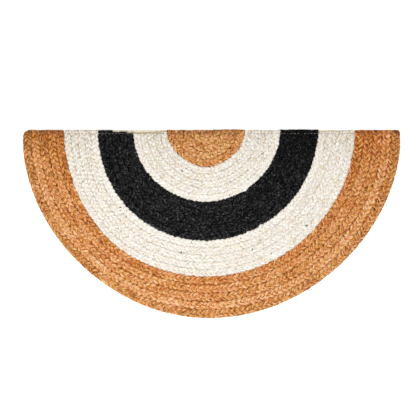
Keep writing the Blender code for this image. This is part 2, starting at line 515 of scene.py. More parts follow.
# %% [markdown]
# ## What sewing does to the plait
#
# A strand is itself a few bundles of fibre that turn about each other, so shallow grooves wind along it.
# What would stick into the next row is pressed against the seam, and the field of noise makes the seam
# wander. Then come the changes of height: the line of stitches pulls a narrow trench, the braid gets
# thinner towards the cut, the tape lifts it, and what would lie below the floor is pressed flat. Each could
# be sculpted, but as a formula on the points it holds for all 25 rows.

# %% Grooves, seams and ends
GROOVE_MEAN = 0.3  # of the cosine round a strand, at which a groove neither digs in nor bulges
SEAM_ROOM = (0.0005, 0.0008)  # how far past the seam's middle a strand may reach, and how soft its edge is
STITCH_INSET = 0.0085  # from the straight edge to the line of stitches along it
STITCH_TRENCH = 0.0024  # half the width that the stitches press down
END_PRESSED = 0.26  # share of its height that the braid loses at the cut
TAPE_RAMP = (0.0235, 0.0275, 0.0015, 0.0)  # two distances from the edge, and how high the tape lifts there
FLOOR_SOFTNESS = 0.0004


def groove_strands(tree, tube):
    """Digs the grooves between the bundles of a strand."""
    place = tree.add("SeparateXYZ", Vector=tree.read("in_section"))
    upward = place["Y"] / tree["Strand Thickness"]
    around = tree.sum("ARCTAN2", upward, place["X"] / tree["Strand Width"])
    bundle = tree.sum("COSINE", around * tree["Bundles"] + tree.read("bundle_phase"))
    tube = tree.store(tube, bundle=bundle)
    from_core = tree.add("InputPosition") - tree.read("core")
    groove = from_core * ((bundle - GROOVE_MEAN) * tree["Groove"])
    return tree.add("SetPosition", Geometry=tube, Offset=groove)


def press_to_seams(tree, tube):
    """Keeps the strands inside their row."""
    sideways = tree.read("sideways")
    out = tree.sum("DOT_PRODUCT", tree.add("InputPosition") - tree.read("middle"), sideways)
    room, softness = SEAM_ROOM
    pressed = tree.sum("SMOOTH_MIN", tree.sum("ABSOLUTE", out), tree.read("half_width") + room, softness)
    squeeze = sideways * (tree.sum("SIGN", out) * pressed - out)
    return tree.add("SetPosition", Geometry=tube, Offset=squeeze)


def set_heights(tree, tube):
    """The trench of the stitches, the thin end, the tape and the floor."""
    place = tree.add("SeparateXYZ", Vector=tree.add("InputPosition"))
    inward = tree["Edge Line"] - place["Y"]
    off_stitches = tree.sum("ABSOLUTE", inward - STITCH_INSET)
    trench = tree.ranged(off_stitches, 0.0, STITCH_TRENCH, tree["Stitch Pull"], 0.0, "SMOOTHSTEP")
    thinner = tree.ranged(inward, 0.0, END_HELD[1], 1.0 - END_PRESSED, 1.0, "SMOOTHSTEP")
    over_tape = tree.ranged(inward, *TAPE_RAMP, "SMOOTHSTEP")
    height = tree.sum("SMOOTH_MAX", place["Z"] * (1.0 - trench) * thinner, over_tape, FLOOR_SOFTNESS)
    raised = tree.add("CombineXYZ", X=place["X"], Y=place["Y"], Z=height)
    return tree.add("SetPosition", Geometry=tube, Position=raised)


print("helpers: groove_strands, press_to_seams, set_heights")

# %% [markdown]
# ## The tree of the plait
#
# The steps become one tree here, whose inputs are the sizes that differ from band to band and row to row.
# Between the waves and the grooves it sweeps an oval section along the splines. Slow noise makes a strand
# thicker and thinner, and it bulges where it turns back at a seam and where the stitches flatten it.

# %% The tree of the plait
LOOSE = (0.016, 0.19)  # wave, and share by which a strand grows thicker and thinner
TURN_FATTER = 0.15  # share by which it bulges where it turns back at a seam
END_FATTER = 0.20  # share by which it spreads under the stitches
BUNDLE_NOISE = (0.021, 3.0)  # wave, and radians by which the bundles turn ahead or lag
PLAIT_SIZES = {
    "Row Middle": "Geometry",
    "Steps": 100,
    "Sides": 10,
    "Lobe Length": 0.0105,
    "Strand Width": 0.0078,
    "Strand Thickness": 0.0043,
    "Bundles": 3.0,
    "Groove": 0.13,
    "Bundle Turn": 0.060,
    "Height": THICKNESS,
    "Press": 0.001,
    "Side Lift": 0.0013,
    "Points Along": 1.0,
    "Seed": 1.0,
    "Edge Line": EDGE_Y,
    "Stitch Pull": 0.17,
    "Jute": "Material",
    **UNEVENNESS,
}


def plait_tree():
    """The tree that plaits a row from the line down its middle."""
    tree = new_group("three_strand_plait", "GeometryNodeTree", PLAIT_SIZES, {"Plait": "Geometry"})
    along = tree.add("SplineParameter")["Length"]
    splines = three_splines(tree)
    own_seed = tree.read("strand") * STRAND_SEED + tree["Seed"]
    waved, at_side = wave_strands(tree, splines, along, own_seed)
    fatness = at_side * TURN_FATTER + (noise_along(along, own_seed, *LOOSE) + 1.0)
    fatness = held_down(tree) * END_FATTER + fatness
    bundle_phase = along / (tree["Bundle Turn"] / (2 * math.pi))
    bundle_phase = bundle_phase + noise_along(along, own_seed, *BUNDLE_NOISE)
    position = tree.add("InputPosition")
    section = (tree["Strand Width"], tree["Strand Thickness"])
    tube = sweep_strand(tree, waved, *section, fatness, core=position, bundle_phase=bundle_phase)
    tube = press_to_seams(tree, groove_strands(tree, tube))
    tube = tree.add("SetPosition", Geometry=tube, Offset=push_about(position))
    tree.hand_out(set_heights(tree, tube), tree["Jute"])
    return tree


PLAIT = plait_tree()
print("nodes in the plait's tree:", len(PLAIT.group.nodes))

# %% [markdown]
# ## From a row's place to its line
#
# The tree wants the row as a line of points down its middle, with a vector across at each. Both seams of a
# row are known from the rule of the rings, so the middle is halfway between them and the vector is their
# difference. The line runs a little past the straight edge, so that the strands are whole where they are
# cut.
#
# Each colour is a length of braid of its own, and the braider's hands show in it. The border has thicker
# strands and longer lobes. A length can be sewn down from either end, so the chevrons of one band point
# along the line and those of the next point back. The small rows in the middle bend sharply, so they get
# closer steps and rounder strands.

# %% The line of a row
PAST_THE_EDGE = 0.013  # metres of braid past the straight edge, cut off later
MOST_PAST = 0.9  # radians, for the smallest rows
BRAID = {
    # band: step, sides of a strand, lobe length, strand width and thickness, way of the chevrons
    "centre": (0.0013, 12, 0.0098, 0.0080, 0.0050, 1.0),
    "inner_cream": (0.0016, 10, 0.0100, 0.0081, 0.0050, -1.0),
    "black": (0.0017, 10, 0.0094, 0.0081, 0.0050, -1.0),
    "outer_cream": (0.0017, 10, 0.0110, 0.0083, 0.0050, 1.0),
    "border": (0.0018, 10, 0.0118, 0.0090, 0.0051, 1.0),
}
PRESS = 0.0009  # how far the strands of a row are pushed against its seams
RIM_PRESS = 0.0019


def write(mesh, name, values):
    """Writes an attribute of a mesh's points: numbers, or rows of three for vectors."""
    kind, field = ("FLOAT_VECTOR", "vector") if values.ndim == 2 else ("FLOAT", "value")
    attribute = mesh.attributes.new(name, kind, "POINT")
    attribute.data.foreach_set(field, values.astype(np.float32).ravel())


def mesh_of_lines(name, lines):
    """A mesh of lines, each given by its points and the vectors across it there."""
    places, across = (np.concatenate(arrays) for arrays in zip(*lines))
    ends = np.cumsum([len(points) for points, _ in lines])
    mesh = bpy.data.meshes.new(name)
    edges = [(i, i + 1) for i in range(len(places) - 1) if i + 1 not in ends]
    mesh.from_pydata(places.tolist(), edges, [])
    write(mesh, "across", across)
    return mesh


def row_line(row, step):
    """The line down the middle of a row, and how many points it has."""
    radius = (ring_sizes(row - 1)[0] + ring_sizes(row)[0]) / 2
    more = min(PAST_THE_EDGE / radius, MOST_PAST)
    count = int(radius * (math.pi + 2 * more) / step)
    turn = np.linspace(more, -math.pi - more, count)
    inner, outer = place_on_mat(row - 1, turn), place_on_mat(row, turn)
    return mesh_of_lines(f"row_line_{row:02d}", [((inner + outer) / 2, outer - inner)]), count


print("points on the outermost row's line:", row_line(ROW_COUNT, BRAID["border"][0])[1])

# %% [markdown]
# ## Running a tree and keeping the mesh
#
# A Geometry Nodes modifier keeps working for as long as it is on its object. Here its result is wanted
# once, as a plain mesh that can be cut and unwrapped. So a helper puts the tree on a throwaway object, sets
# each input by the socket's identifier, reads the evaluated object as a new mesh and removes the throwaway.
# The finished piece then has no modifier at all.


# %% Running a tree
def run_tree(tree, start_mesh, **inputs):
    """The mesh that a tree makes from a start mesh. An input's name has _ for a space."""
    carrier = add_object("carrier", start_mesh)
    modifier = carrier.modifiers.new("tree", "NODES")
    modifier.node_group = tree.group
    sockets = tree.group.interface.items_tree
    for name, value in inputs.items():
        modifier[sockets[name.replace("_", " ")].identifier] = value
    evaluated = carrier.evaluated_get(bpy.context.evaluated_depsgraph_get())
    mesh = bpy.data.meshes.new_from_object(evaluated)
    bpy.data.objects.remove(carrier)
    return mesh


def keep_attributes(mesh, *kept):
    """Removes what a tree left on a mesh, apart from the named attributes and what a mesh needs."""
    needed = ("position", "sharp_face", "material_index")
    for name in [item.name for item in mesh.attributes]:
        if not name.startswith(".") and name not in needed + kept:
            mesh.attributes.remove(mesh.attributes[name])


def read_items(items, field, width=1, kind=np.float32):
    """One field of every item of a mesh, as an array."""
    values = np.empty(len(items) * width, kind)
    items.foreach_get(field, values)
    return values.reshape(-1, width) if width > 1 else values


print("helpers: run_tree, keep_attributes, read_items")

# %% [markdown]
# ## Colour that runs with the fibre
#
# Jute is a bast fibre: long, flat, shiny threads, split from the stalk and never quite the same colour
# twice. Undyed jute goes from pale gold nearly to the brown of bark, bleached jute keeps beige and
# grey-green streaks, and black dye leaves some fibres grey or brown. All three need the same marks, so one
# node group makes them and each material turns them into its own colours.
#
# Marks drawn on the mat's own coordinates would run straight through a plait. These are noise stretched
# along the `fibre` attribute, so they run with the strand over and under, and a little twist lets them
# cross it at a slant, as in spun yarn. The group gives fine fibres, locks of fibre two millimetres wide, a
# slow tone along the strand, rare dark flecks, a hue, because one lock leans to red and the next to olive,
# and a tint, because some are paler than others.

# %% The shared marks of jute
MARKS = {
    # mark: width and length, detail, shift, and the noise that counts as none and as full
    "Locks": (0.0024, 0.0100, 3.0, 31.0, 0.38, 0.62),
    "Slow": (0.0500, 0.0900, 1.0, 83.0, 0.30, 0.70),
    "Hue": (0.0032, 0.0120, 1.0, 71.0, 0.30, 0.70),
    "Tint": (0.0046, 0.0140, 1.0, 113.0, 0.32, 0.68),
}
FIBRE_DETAIL = (4.0, 0.0, 0.28, 0.72)  # detail, shift, none and full
FLECK = (0.0023, 0.0080, 1.0, 97.0)  # width, length, detail, shift
FLECK_EDGE = 0.10  # of the noise, from the skirt of a fleck to its full colour
STRAND_SHIFT = 5.37  # from one strand's noise to the next one's
MARK_INPUTS = {"Fibre Width": 0.00030, "Fibre Length": 0.016, "Twist": 0.22, "Fleck Share": 0.30}


def marks_of_jute():
    """The node group with the marks that all jute has."""
    outputs = dict.fromkeys(("Fibres", "Locks", "Slow", "Flecks", "Hue", "Tint"), "Float")
    tree = new_group("jute_marks", "ShaderNodeTree", MARK_INPUTS, outputs)
    number = tree.add("Attribute", attribute_name="strand_number")["Fac"]
    place = tree.add("SeparateXYZ", Vector=tree.add("Attribute", attribute_name="fibre")["Vector"])
    slanted = place["Z"] * tree["Twist"] + place["X"]

    def streaks(width, length, detail, shift):
        """Noise this wide across the strand and this long along it, different on each strand."""
        across = slanted / width + (number * STRAND_SHIFT + shift)
        stretched = tree.add("CombineXYZ", X=across, Y=place["Y"] / width, Z=place["Z"] / length)
        return tree.add("TexNoise", Vector=stretched, Scale=1.0, Detail=detail, Roughness=0.6)

    sizes = {"Fibres": (tree["Fibre Width"], tree["Fibre Length"], *FIBRE_DETAIL), **MARKS}
    masks = {name: tree.ranged(streaks(*size[:4]), *size[4:]) for name, size in sizes.items()}
    edge = 1.0 - tree["Fleck Share"]
    masks["Flecks"] = tree.ranged(streaks(*FLECK), edge, edge + FLECK_EDGE)
    tree.fill(tree.group.nodes["Group Output"], masks)
    return tree


JUTE_MARKS = marks_of_jute()
print("nodes in the marks of jute:", len(JUTE_MARKS.group.nodes))

# %% [markdown]
# ## Three colours of jute
#
# A material weighs the marks into one number, and a colour ramp turns it into the colours that the yarn
# really has. `tone` and `lean` are attributes that a row brings along: one makes it lighter or darker, and
# the other turns its hue. The fibres and locks also raise the surface a little, through a bump. Jute is
# dry, but its long flat fibres shine softly, so the roughness is middling and follows the fibres, and a
# little sheen stands for the finest fluff.

# %% The jute materials
JUTE_COLOURS = {
    # colour: stops of the ramp, each a place and a colour
    "natural": (
        (0.00, 0.110, 0.032, 0.006),
        (0.22, 0.392, 0.112, 0.010),
        (0.45, 0.632, 0.248, 0.057),
        (0.66, 0.770, 0.408, 0.176),
        (0.84, 0.845, 0.572, 0.338),
        (1.00, 0.885, 0.692, 0.475),
    ),
    "cream": (
        (0.00, 0.390, 0.330, 0.245),
        (0.22, 0.620, 0.550, 0.445),
        (0.45, 0.780, 0.722, 0.635),
        (0.70, 0.870, 0.832, 0.765),
        (1.00, 0.935, 0.915, 0.870),
    ),
    "black": (
        (0.00, 0.0008, 0.0008, 0.0009),
        (0.36, 0.0030, 0.0030, 0.0034),
        (0.56, 0.0110, 0.0110, 0.0118),
        (0.76, 0.0330, 0.0330, 0.0340),
        (1.00, 0.0950, 0.0930, 0.0900),
    ),
}
JUTE_FINISH = {
    # colour: spans of hue and saturation, roughness, sheen, specular
    "natural": (0.030, 0.08, 0.52, 0.04, 0.20),
    "cream": (0.070, 1.15, 0.60, 0.12, 0.30),
    "black": (0.0, 0.0, 0.42, 0.0, 0.04),
}
FLECKS = {
    # colour: the fleck's own colour, and how much of it shows
    "natural": ((0.072, 0.036, 0.010, 1.0), 0.85),
    "cream": ((0.170, 0.135, 0.085, 1.0), 0.85),
    "black": ((0.060, 0.042, 0.028, 1.0), 0.45),
}
FIBRE_SIZES = {"natural": (0.0006, 0.0100), "cream": (0.0006, 0.0100), "black": (0.0022, 0.0050)}
WEIGHTS = {
    "natural": {"Fibres": 0.26, "Locks": 0.60, "Slow": 0.12},
    "cream": {"Fibres": 0.22, "Locks": 0.62, "Slow": 0.14},
    "black": {"Fibres": 0.74, "Locks": 0.76},
}
LEAN_FADES = -5.0  # what a lean to yellow does to the saturation
LOCK_RELIEF = 1.6  # next to that of a fibre
ROUGHNESS_SPREAD = (-0.10, 0.18)


def jute_material(colour):
    """The material of the braid in one colour."""
    hue_span, saturation_span, roughness, sheen, specular = JUTE_FINISH[colour]
    fibre_width, fibre_length = FIBRE_SIZES[colour]
    material, tree = new_material(f"plaited_jute_{colour}")
    marks = tree.add("Group", node_tree=JUTE_MARKS.group, Fibre_Width=fibre_width, Fibre_Length=fibre_length)
    weighed = tree.add("Attribute", attribute_name="tone")["Fac"]
    for name, weight in WEIGHTS[colour].items():
        weighed = marks[name] * weight + weighed
    lean = tree.add("Attribute", attribute_name="lean")["Fac"]
    hue = marks["Hue"] * hue_span + (0.5 - hue_span / 2) + lean
    saturation = marks["Tint"] * -saturation_span + (1.0 + saturation_span / 2) + lean * LEAN_FADES
    jute = tree.ramp(weighed, JUTE_COLOURS[colour])
    tinted = tree.add("HueSaturation", Color=jute, Hue=hue, Saturation=saturation)
    fleck, fleck_share = FLECKS[colour]
    mixed = tree.add("Mix", {6: tinted, 7: fleck}, Factor=marks["Flecks"] * fleck_share, data_type="RGBA")
    relief = marks["Locks"] * LOCK_RELIEF + marks["Fibres"]
    tree.shade(
        Base_Color=mixed[2],
        Roughness=tree.ranged(marks["Fibres"], 0.0, 1.0, *(roughness + more for more in ROUGHNESS_SPREAD)),
        Normal=tree.add("Bump", Height=relief, Strength=0.7, Distance=0.00022),
        Sheen_Weight=sheen,
        Sheen_Roughness=0.4,
        Specular_IOR_Level=specular,
    )
    return material


JUTE = {colour: jute_material(colour) for colour in JUTE_COLOURS}
print("jute materials:", ", ".join(material.name for material in JUTE.values()))

# %% [markdown]
# ## A flat map of every strand
#
# A strand is a long thin tube, and an export that paints the materials on a picture needs it laid flat
# without overlaps. Automatic unwrapping makes thousands of scraps of such a tube. The sweep has a plain
# order instead, ring after ring with the same number of sides, so each strand unrolls into a ribbon. The
# ribbons are cut into lengths and laid side by side until they fill a square. This is done before the ends
# are cut, because the cut then shares the map out by itself. The cut faces get small patches of their own
# along the top of the square.

# %% The flat map
CAP_STRIP = 0.03  # share of the map kept for the cut faces
MARGIN = 0.03  # share of a ribbon's width left empty on each side
EDGE_GAP = 0.002  # share of the map left empty at both ends of a ribbon
ROUND_A_STRAND = 0.020  # metres round a strand
CAP_SLOTS = 24


def lay_strands_flat(mesh, sides, rings, step, round_a_strand=ROUND_A_STRAND):
    """Gives strands with these numbers of rings the map OFBake. Returns the map's width in metres."""
    rings = np.array(rings)
    ribbon_rings = math.ceil(math.sqrt(rings.sum() * step * round_a_strand) / step)
    ribbons_before = np.concatenate(([0], np.cumsum(np.ceil((rings - 1) / ribbon_rings).astype(int))))
    ribbons = ribbons_before[-1]
    strand_of_ring = np.repeat(np.arange(len(rings)), rings)
    ring_in_strand = np.concatenate([np.arange(count) for count in rings])
    starts = read_items(mesh.polygons, "loop_start", kind=np.int32)
    totals = read_items(mesh.polygons, "loop_total", kind=np.int32)
    corner_vertex = read_items(mesh.loops, "vertex_index", kind=np.int32)
    corners = starts[totals == 4][:, None] + np.arange(4)
    ring_number, side = corner_vertex[corners] // sides, corner_vertex[corners] % sides
    wraps = (side.max(axis=1) - side.min(axis=1)) > 1
    side = np.where(wraps[:, None] & (side == 0), sides, side)
    ring = ring_in_strand[ring_number]
    ribbon_in_strand = (ring.min(axis=1) // ribbon_rings)[:, None]
    ribbon = ribbons_before[strand_of_ring[ring_number]] + ribbon_in_strand
    u = (ribbon + MARGIN + side / sides * (1 - 2 * MARGIN)) / ribbons
    v = (ring - ribbon_in_strand * ribbon_rings) / ribbon_rings * (1 - CAP_STRIP - 2 * EDGE_GAP) + EDGE_GAP
    places = np.zeros((len(corner_vertex), 2), np.float32)
    places[corners] = np.stack((u, v), axis=-1)
    mesh.uv_layers.new(name="OFBake").data.foreach_set("uv", places.ravel())
    return ribbons * round_a_strand


def map_cap(face, layer, slot, map_width):
    """Puts a cut face on a patch of its own along the top of the map."""
    middle = face.calc_center_median()
    for loop in face.loops:
        aside = (loop.vert.co - middle) / map_width
        u = (slot % CAP_SLOTS + 0.5) / CAP_SLOTS + aside.x
        v = 1 - CAP_STRIP / 2 + aside.z
        loop[layer].uv = (min(max(u, 0.0), 1.0), min(max(v, 1 - CAP_STRIP), 1.0))


print("helpers: lay_strands_flat, map_cap")

# %% [markdown]
# ## Cutting the ends
#
# The half rings are cut off along the straight edge, and some ends sit a few millimetres back from it,
# where the tape shows. A Boolean with a box is slow on a plait, whose strands run into one another. Each
# strand is a closed tube, so a plane through it does: the part beyond it is deleted and the open loop is
# filled. The two ends of a row have planes of their own. The strands of an end are cut a hair apart, as
# scissors leave them, because cut faces in one plane would flicker where strands overlap.
#
# The outermost row also makes the mat's two corners. Every point in the corner's square moves along its
# line to the corner's centre, by as much as takes the square's rim to the round.

# %% Cutting and rounding
CUT_SHORT = {
    # end: {row: how far short of the straight edge, in metres}
    "left": {6: 0.004, 7: 0.006, 8: 0.007, 9: 0.007, 10: 0.008, 11: 0.007, 12: 0.004, 13: 0.005},
    "right": {
        **{2: -0.001, 3: -0.0015, 4: -0.0015, 5: -0.001},
        **{11: -0.001, 12: -0.0015, 13: -0.0015, 14: -0.0015, 15: -0.001},
        **{16: 0.005, 17: 0.004, 18: 0.0045, 19: 0.001},
    },
}
CORNERS = (
    # direction along X, turn of the corner, radius
    (-1, -math.pi, 0.015),
    (1, 0.0, 0.005),
)
END_ZONE = 0.03  # metres from the straight edge in which ends are cut
STRAND_STAGGER = 0.0004


def cut_end(form, line_y, chosen):
    """Cuts the chosen faces off at a line and closes the loops that are left open. Returns the new faces."""
    # The keys of a dict keep their order, and a set's don't, so each run cuts in the same order.
    verts = dict.fromkeys(vert for face in chosen for vert in face.verts)
    edges = dict.fromkeys(edge for face in chosen for edge in face.edges)
    plane = {"plane_co": (0, line_y, 0), "plane_no": (0, 1, 0)}
    bmesh.ops.bisect_plane(form, geom=[*chosen, *edges, *verts], dist=1e-6, clear_outer=True, **plane)
    open_edges = [edge for edge in form.edges if edge.is_boundary]
    return bmesh.ops.holes_fill(form, edges=open_edges, sides=0)["faces"]


def cut_straight(mesh, row, map_width):
    """Cuts both ends of a row."""
    form = bmesh.new()
    form.from_mesh(mesh)
    layer = form.loops.layers.uv["OFBake"]
    strand_of = form.verts.layers.float["strand"]
    middle_x = ring_sizes(row)[1]
    short = {end: CUT_SHORT[end].get(row, 0.0) for end in CUT_SHORT}
    both_alike = short["left"] == short["right"]
    caps = 0
    for end, sign in (("left", -1), ("right", 1)):
        strands = [[] for _ in range(STRANDS)]
        for face in form.faces:
            vert = face.verts[0]
            if vert.co.y > EDGE_Y - END_ZONE and (both_alike or sign * (vert.co.x - middle_x) > 0):
                strands[round(vert[strand_of])].append(face)
        for strand, chosen in enumerate(strands):
            line_y = EDGE_Y - short[end] - STRAND_STAGGER * ((strand + row) % STRANDS)
            for face in cut_end(form, line_y, chosen):
                face.smooth = False
                map_cap(face, layer, caps, map_width)
                caps += 1
        if both_alike:
            break
    bmesh.ops.recalc_face_normals(form, faces=form.faces)
    form.to_mesh(mesh)
    form.free()


def round_corners(mesh):
    """Draws the outermost row's square ends in to the mat's round corners."""
    place = read_items(mesh.vertices, "co", 3)
    for sign, turn, radius in CORNERS:
        tip_x = place_on_mat(ROW_COUNT, np.array([turn]))[0, 0]
        centre = np.array([tip_x - sign * radius, EDGE_Y - radius])
        out = place[:, :2] - centre
        inside = (sign * out[:, 0] > 0) & (out[:, 1] > 0)
        reach = np.hypot(out[:, 0], out[:, 1]) + 1e-9
        pull = np.maximum(np.abs(out[:, 0]), np.abs(out[:, 1])) / reach
        place[inside, :2] = centre + out[inside] * pull[inside, None]
    mesh.vertices.foreach_set("co", place.ravel())


print("helpers: cut_end, cut_straight, round_corners")

# %% [markdown]
# ## What a row tells its material
#
# A row gets three attributes for the material: a number for each strand, so that no two strands share their
# noise, its tone and its lean. In the picture the border's second row from outside is the palest, and the
# cream is whitest beside the black. The tone also carries painted shade: the natural and black strands are
# darker low down and paler on their tops, every colour is darker in the grooves between the bundles, and the
# cream is painted paler low down, which takes out part of its real shade there. Long patches come from the
# bundles of stalks that went into a row. Towards the straight edge every colour is darker, as painted shade,
# and darkest right at the cut. Last, some natural rows lean more to red or to yellow, and the border is
# redder at its right end.

# %% Tone and lean
ROW_TONE = {
    # row: how much lighter, as a share of the ramp
    **{1: -0.03, 2: -0.03, 3: -0.03, 4: -0.03, 5: -0.06, 10: 0.10, 16: 0.08},
    **{21: -0.08, 22: -0.02, 23: -0.05, 24: 0.05, 25: -0.09},
}
ROW_LEAN = {1: 0.007, 2: 0.007, 3: 0.006, 4: 0.006, 5: 0.003, 21: -0.002, 22: -0.001, 25: 0.003}  # to yellow
TONES = {
    # colour: plain, painted shade by height, painted shade in the grooves, up and down in patches, painted
    # shade at the cut
    "natural": (0.03, 0.25, 0.09, 0.024, -0.10),
    "cream": (0.05, -0.06, 0.10, 0.004, -0.16),
    "black": (-0.245, 0.04, 0.06, 0.0, -0.04),
}
# The painted shade by height runs between these heights: darker low down and paler on the tops, the other
# way round for the cream.
HEIGHT_SHADE_RANGE = (0.0045, 0.0085)
HEIGHT_SHADE_MEAN = 0.9
PATCH_LENGTHS = (0.21, 0.13)
END_SHADE_AND_LEAN = {
    # band: painted shade at its left and right end, lean at its left and right end, how far they reach into
    # the mat
    "centre": (-0.12, -0.10, 0.000, 0.004, 0.038),
    "inner_cream": (-0.27, -0.24, 0.000, 0.000, 0.038),
    "black": (-0.12, -0.26, 0.000, 0.000, 0.100),
    "outer_cream": (-0.27, -0.27, 0.000, 0.000, 0.038),
    "border": (-0.20, -0.15, 0.000, -0.005, 0.085),
}
# The painted shade at the cut fades out over this distance.
CUT_SHADE_REACH = 0.0025  # metres from the cut


def mark_row(mesh, row):
    """Adds the attributes that the jute material reads, apart from the fibre's own."""
    band, colour = band_of(row)[:2]
    plain, height_shade, grooves, patches, cut = TONES[colour]
    left_end_shade, right_end_shade, left_lean, right_lean, reach = END_SHADE_AND_LEAN[band]
    place = read_items(mesh.vertices, "co", 3)
    on_left = place[:, 0] < 0.0
    to_edge = EDGE_Y - place[:, 1]
    near_end = np.exp(-to_edge / reach)
    low, high = HEIGHT_SHADE_RANGE
    height = np.clip((place[:, 2] - low) / (high - low), 0.0, 1.0) - HEIGHT_SHADE_MEAN
    bundle = read_items(mesh.attributes["bundle"].data, "value")
    # Painted shade: darker low down (paler for the cream) and darker in the grooves between the bundles.
    tone = ROW_TONE.get(row, 0.0) + plain + height_shade * height + grooves * bundle
    along = read_items(mesh.attributes["fibre"].data, "vector", 3)[:, 2]
    for length in PATCH_LENGTHS:
        tone += patches * np.sin(2 * np.pi * along / length + ROW_PHASE * row)
    # Painted shade: darker towards the straight edge, and most at the cut.
    tone += np.where(on_left, left_end_shade, right_end_shade) * near_end + cut * np.exp(-to_edge / CUT_SHADE_REACH)
    write(mesh, "strand_number", read_items(mesh.attributes["strand"].data, "value") + STRANDS * row)
    write(mesh, "tone", tone)
    write(mesh, "lean", ROW_LEAN.get(row, 0.0) + np.where(on_left, left_lean, right_lean) * near_end)


print("helper: mark_row")

# %% [markdown]
# ## The 25 rows
#
# Now the rows are made one after another: plaited, mapped, cut, marked and dressed. All of them could be
# one mesh, but a mat is sewn from rows, so each takes the place of its packed solid and rides on the mat's
# one body.

# %% Plaiting the rows
WAVED_LENGTH = 1.5  # length of a strand next to that of its row, for the map


def dress(mesh, name, slot_name, *replaced):
    """Makes a finished mesh a piece of the mat."""
    mesh.name = name
    piece = add_object(name, mesh)
    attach(piece, "root")
    if replaced:
        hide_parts(*replaced)
    return piece


def plaited_row(row):
    """Plaits, cuts, marks and dresses one row."""
    band, colour = band_of(row)[:2]
    step, sides, lobe, width, thickness, way = BRAID[band]
    line, count = row_line(row, step)
    mesh = run_tree(
        PLAIT,
        line,
        Steps=count,
        Sides=sides,
        Lobe_Length=lobe,
        Strand_Width=width,
        Strand_Thickness=thickness,
        Height=row_height(row),
        Press=RIM_PRESS if row == ROW_COUNT else PRESS,
        Points_Along=way,
        Seed=float(row),
        Jute=JUTE[colour],
    )
    map_width = lay_strands_flat(mesh, sides, [count] * STRANDS, WAVED_LENGTH * step)
    cut_straight(mesh, row, map_width)
    if row == ROW_COUNT:
        round_corners(mesh)
    mark_row(mesh, row)
    keep_attributes(mesh, "fibre", "strand_number", "tone", "lean", "OFBake")
    return dress(mesh, f"plaited_row_{row:02d}", f"jute_{colour}", f"braid_row_{row:02d}")


def triangles_in(pieces):
    """How many triangles the pieces have."""
    return sum(len(face.vertices) - 2 for piece in pieces for face in piece.data.polygons)


ROWS = [plaited_row(row) for row in range(1, ROW_COUNT + 1)]
print("triangles in the rows:", triangles_in(ROWS))

# %% [markdown]
# ## The yarn in the seams
#
# Between two rows runs the yarn that sews them together. It dips in and out of both braids, and what shows
# of it is a low wavy line at the bottom of the seam. It matters for the look, because without it the floor
# shines through the notches where the lobes of two rows meet. The yarn has the material of the row inside
# it,
# with its tone set as painted shade: darker in the natural and black seams, and a little paler in the cream
# ones, where it takes out part of their real shade. A tree sweeps it along the seams from the same rule of
# the rings, so it can't drift off them, with the same field of noise.

# %% The seam yarn
SEAM_STEP = 0.003
SEAM_SIDES = 6
SEAM_GAP = 0.0006  # from the end of a row to the end of its yarn
ROUND_THE_YARN = 0.013  # metres
# Painted shade on the seam yarn: darker for natural and black, paler for cream, which takes out part of its
# real shade.
SEAM_PAINTED_SHADE = {"natural": -0.40, "cream": 0.08, "black": -0.32}
ZIGZAG_NOISE = (0.03, 1.5)
LEVEL_NOISE = (0.008, 0.0008)
YARN_SIZES = {
    "Seam Lines": "Geometry",
    "Sides": SEAM_SIDES,
    "Yarn Width": 0.0044,
    "Yarn Height": 0.0034,
    "Level": 0.0044,
    "Zigzag": 0.0006,
    "Stitch Length": 0.0110,
    "Seed": 3.0,
    "Jute": "Material",
    **UNEVENNESS,
}


def seam_tree():
    """The tree that lays yarn along lines of points."""
    tree = new_group("seam_yarn", "GeometryNodeTree", YARN_SIZES, {"Yarn": "Geometry"})
    line = tree.add("MeshToCurve", Mesh=tree["Seam Lines"])
    along = tree.add("SplineParameter")["Length"]
    phase = along / tree["Stitch Length"] * (2 * math.pi) + noise_along(along, tree["Seed"], *ZIGZAG_NOISE)
    aside = tree.read("across") * (tree.sum("SINE", phase) * tree["Zigzag"])
    level = tree["Level"] + noise_along(along, tree["Seed"], *LEVEL_NOISE)
    offset = aside + tree.add("CombineXYZ", Z=level) + push_about(tree.add("InputPosition"))
    laid = tree.add("SetPosition", Geometry=line, Offset=offset)
    tree.hand_out(sweep_strand(tree, laid, tree["Yarn Width"], tree["Yarn Height"]), tree["Jute"])
    return tree


def seam_line(row):
    """The points of the seam outside a row and the vectors across it. It ends where the shorter row does."""
    radius = ring_sizes(row)[0]
    short = {end: max(rows.get(row, 0.0), rows.get(row + 1, 0.0), 0.0) for end, rows in CUT_SHORT.items()}
    start, stop = (-(short[end] + SEAM_GAP) / radius for end in ("right", "left"))
    turn = np.linspace(start, -math.pi - stop, int(radius * math.pi / SEAM_STEP))
    return place_on_mat(row, turn), np.stack((np.cos(turn), np.sin(turn), 0 * turn), axis=-1)


def seam_yarn(tree, colour):
    """The yarn in every seam outside a row of this colour."""
    lines = [seam_line(row) for row in range(1, ROW_COUNT) if band_of(row)[1] == colour]
    yarn = run_tree(tree, mesh_of_lines(f"seam_lines_{colour}", lines), Jute=JUTE[colour])
    rings = [len(points) for points, _ in lines]
    lay_strands_flat(yarn, SEAM_SIDES, rings, SEAM_STEP, ROUND_THE_YARN)
    write(yarn, "tone", np.full(len(yarn.vertices), SEAM_PAINTED_SHADE[colour]))
    keep_attributes(yarn, "fibre", "tone", "OFBake")
    return dress(yarn, f"seam_yarn_{colour}", f"jute_{colour}")


SEAM = seam_tree()
print("triangles in the seams:", triangles_in([seam_yarn(SEAM, colour) for colour in JUTE]))

